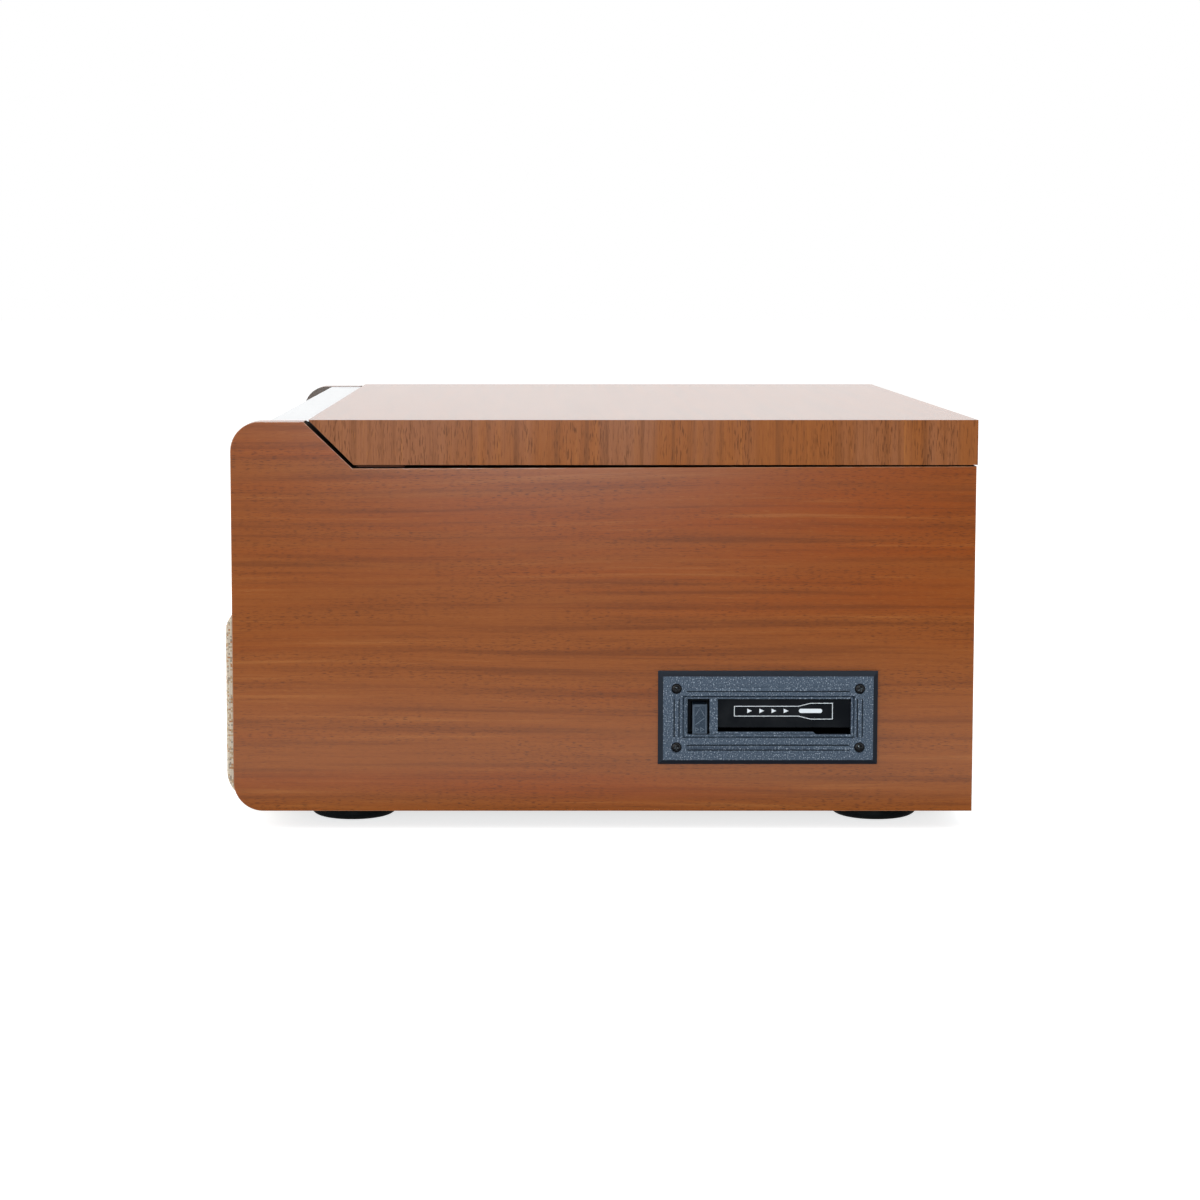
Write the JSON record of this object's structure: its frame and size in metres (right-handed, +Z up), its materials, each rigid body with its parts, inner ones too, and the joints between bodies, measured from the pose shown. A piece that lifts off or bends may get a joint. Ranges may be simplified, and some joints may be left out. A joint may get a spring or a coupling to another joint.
{
  "type": "record player",
  "caption": "Wooden record player with a hinged lid over a belt-driven turntable and tonearm, a disc drawer, a side tape slot, a slide-rule dial and a cloth speaker front.",
  "frame": {"origin": "on the floor under the middle of the object's width and depth", "axes": "+Z up, -Y towards the front with the grille and dial, +X towards the side with the tape slot"},
  "size_m": [0.4545, 0.3796, 0.2025],
  "materials": {
    "side_wood": "lacquered reddish veneer",
    "lid_wood": "lacquered reddish veneer",
    "fibre_board": "bare fibre board",
    "dark_board": "dark stained board",
    "fascia_plastic": "white satin",
    "grille_fabric": "flecked tweed",
    "foot_plastic": "glossy black",
    "hardware_steel": "zinc plated",
    "pad_felt": "brown soft pad",
    "deck_plastic": "fine texture",
    "bearing_brass": "turned",
    "belt_rubber": "matt",
    "motor_steel": "plated can",
    "platter_metal": "turned",
    "mat_rubber": "ribbed",
    "bright_metal": "polished",
    "arm_metal": "polished",
    "yoke_metal": "satin",
    "head_plastic": "satin black",
    "cartridge_plastic": "red",
    "weight_metal": "dark",
    "switch_plastic": "silver",
    "basket_metal": "dark",
    "cone_paper": "pressed pulp",
    "board_green": "solder mask",
    "core_iron": "laminated",
    "chassis_plastic": "moulded",
    "drawer_plastic": "white satin",
    "scale_print": "cream print",
    "pointer_red": "red",
    "dial_clear": "clear",
    "control_metal": "champagne plated",
    "bezel_plastic": "grained blue-grey",
    "flap_plastic": "glossy black",
    "screw_black": "black oxide",
    "socket_metal": "plated"
  },
  "bodies": {
    "cabinet": {"left_side_panel": "side_wood", "right_side_panel": "side_wood", "base_panel": "fibre_board", "back_panel": "dark_board", "speaker_baffle": "dark_board", "grille_frame": "dark_board", "front_fascia": "fascia_plastic", "grille_cloth": "grille_fabric", "feet": "foot_plastic", "cabinet_screws": "hardware_steel", "hinge_cabinet_leaves": "hardware_steel", "hinge_pins": "hardware_steel", "deck_plate": "deck_plastic", "tonearm_base": "deck_plastic", "arm_rest": "deck_plastic", "platter_bearing": "bearing_brass", "drive_belt": "belt_rubber", "drive_motor": "motor_steel", "speaker_baskets": "basket_metal", "speaker_cones": "cone_paper", "control_board": "board_green", "main_board": "board_green", "power_transformer": "core_iron", "disc_chassis": "chassis_plastic", "tape_chassis": "chassis_plastic", "dial_scale": "scale_print", "dial_glass": "dial_clear", "tape_bezel": "bezel_plastic", "tape_screws": "screw_black", "front_sockets": "socket_metal", "rear_sockets": "socket_metal"},
    "lid": {"lid_board": "lid_wood", "lid_cheeks": "lid_wood", "lid_back_rail": "lid_wood", "hinge_lid_leaves": "hardware_steel", "lid_pads": "pad_felt"},
    "platter": {"platter": "platter_metal", "platter_mat": "mat_rubber", "platter_spindle": "bright_metal"},
    "pulley": {"motor_pulley": "bearing_brass"},
    "arm_swivel": {"tonearm_yoke": "yoke_metal"},
    "arm": {"tonearm_tube": "arm_metal", "headshell": "head_plastic", "cartridge": "cartridge_plastic", "counterweight": "weight_metal"},
    "cue_lever": {"cue_lever": "bright_metal"},
    "cue_lift": {"cue_lift_bar": "bright_metal"},
    "arm_clip": {"arm_clip": "head_plastic"},
    "speed_switch": {"speed_switch": "switch_plastic"},
    "autostop_switch": {"autostop_switch": "switch_plastic"},
    "disc_drawer": {"disc_drawer": "drawer_plastic"},
    "volume_knob": {"volume_knob": "control_metal"},
    "tuning_knob": {"tuning_knob": "control_metal"},
    "dial_pointer": {"dial_pointer": "pointer_red"},
    "previous_button": {"previous_button": "control_metal"},
    "play_button": {"play_button": "control_metal"},
    "stop_button": {"stop_button": "control_metal"},
    "next_button": {"next_button": "control_metal"},
    "tape_flap": {"tape_flap": "flap_plastic"},
    "tape_key": {"tape_key": "bezel_plastic"}
  },
  "joints": [
    {"name": "lid_hinge", "type": "hinge", "parent": "cabinet", "child": "lid", "pos_m": [0, 0.1845, 0.18], "axis": [-1, 0, 0], "range_deg": [0, 80]},
    {"name": "platter_spin", "type": "hinge", "parent": "cabinet", "child": "platter", "pos_m": [-0.048, 0.0142, 0.151], "axis": [0, 0, -1], "continuous": true},
    {"name": "pulley_spin", "type": "hinge", "parent": "cabinet", "child": "pulley", "pos_m": [-0.13351, -0.01692, 0.151], "axis": [0, 0, -1], "continuous": true},
    {"name": "tonearm_swing", "type": "hinge", "parent": "cabinet", "child": "arm_swivel", "pos_m": [0.124, 0.1177, 0.165], "axis": [0, 0, -1], "range_deg": [0, 42]},
    {"name": "tonearm_lift", "type": "hinge", "parent": "arm_swivel", "child": "arm", "pos_m": [0.124, 0.1177, 0.179], "axis": [-1, 0, 0], "range_deg": [0, 2.2]},
    {"name": "cue_lever", "type": "hinge", "parent": "cabinet", "child": "cue_lever", "pos_m": [0.152, 0.0872, 0.159], "axis": [-1, 0, 0], "range_deg": [0, 55]},
    {"name": "cue_lift", "type": "slide", "parent": "cabinet", "child": "cue_lift", "axis": [0, 0, 1], "range_m": [0, 0.00125]},
    {"name": "arm_clip", "type": "hinge", "parent": "cabinet", "child": "arm_clip", "pos_m": [0.136, -0.0348, 0.179], "axis": [0, 0, 1], "range_deg": [0, 90]},
    {"name": "speed_switch", "type": "slide", "parent": "cabinet", "child": "speed_switch", "axis": [0, 1, 0], "range_m": [0, 0.012]},
    {"name": "autostop_switch", "type": "slide", "parent": "cabinet", "child": "autostop_switch", "axis": [0, 1, 0], "range_m": [0, 0.005]},
    {"name": "disc_drawer", "type": "slide", "parent": "cabinet", "child": "disc_drawer", "axis": [0, -1, 0], "range_m": [0, 0.13]},
    {"name": "volume_knob", "type": "hinge", "parent": "cabinet", "child": "volume_knob", "pos_m": [-0.158, -0.17214, 0.16877], "axis": [0, 0.9895, -0.1443], "range_deg": [-150, 150]},
    {"name": "tuning_knob", "type": "hinge", "parent": "cabinet", "child": "tuning_knob", "pos_m": [0.158, -0.17214, 0.16877], "axis": [0, 0.9895, -0.1443], "range_deg": [-360, 360]},
    {"name": "dial_pointer", "type": "slide", "parent": "cabinet", "child": "dial_pointer", "axis": [1, 0, 0], "range_m": [-0.085, 0.085]},
    {"name": "previous_button", "type": "slide", "parent": "cabinet", "child": "previous_button", "axis": [0, 0.9895, -0.1443], "range_m": [0, 0.0015], "stiffness_N_per_m": 300},
    {"name": "play_button", "type": "slide", "parent": "cabinet", "child": "play_button", "axis": [0, 0.9895, -0.1443], "range_m": [0, 0.0015], "stiffness_N_per_m": 300},
    {"name": "stop_button", "type": "slide", "parent": "cabinet", "child": "stop_button", "axis": [0, 0.9895, -0.1443], "range_m": [0, 0.0015], "stiffness_N_per_m": 300},
    {"name": "next_button", "type": "slide", "parent": "cabinet", "child": "next_button", "axis": [0, 0.9895, -0.1443], "range_m": [0, 0.0015], "stiffness_N_per_m": 300},
    {"name": "tape_flap", "type": "hinge", "parent": "cabinet", "child": "tape_flap", "pos_m": [0.22295, 0.0862, 0.066], "axis": [0, 1, 0], "range_deg": [0, 82], "stiffness_Nm_per_rad": 0.01, "springref_deg": -17.19},
    {"name": "tape_key", "type": "slide", "parent": "cabinet", "child": "tape_key", "axis": [-1, 0, 0], "range_m": [0, 0.005], "stiffness_N_per_m": 250}
  ],
  "couplings": [
    {"joint": "pulley_spin", "follows": "platter_spin", "ratio": 11.299},
    {"joint": "cue_lever", "follows": "tonearm_lift", "ratio": 25},
    {"joint": "cue_lift", "follows": "tonearm_lift", "m_per_rad": 0.032},
    {"joint": "dial_pointer", "follows": "tuning_knob", "m_per_rad": 0.013525}
  ]
}
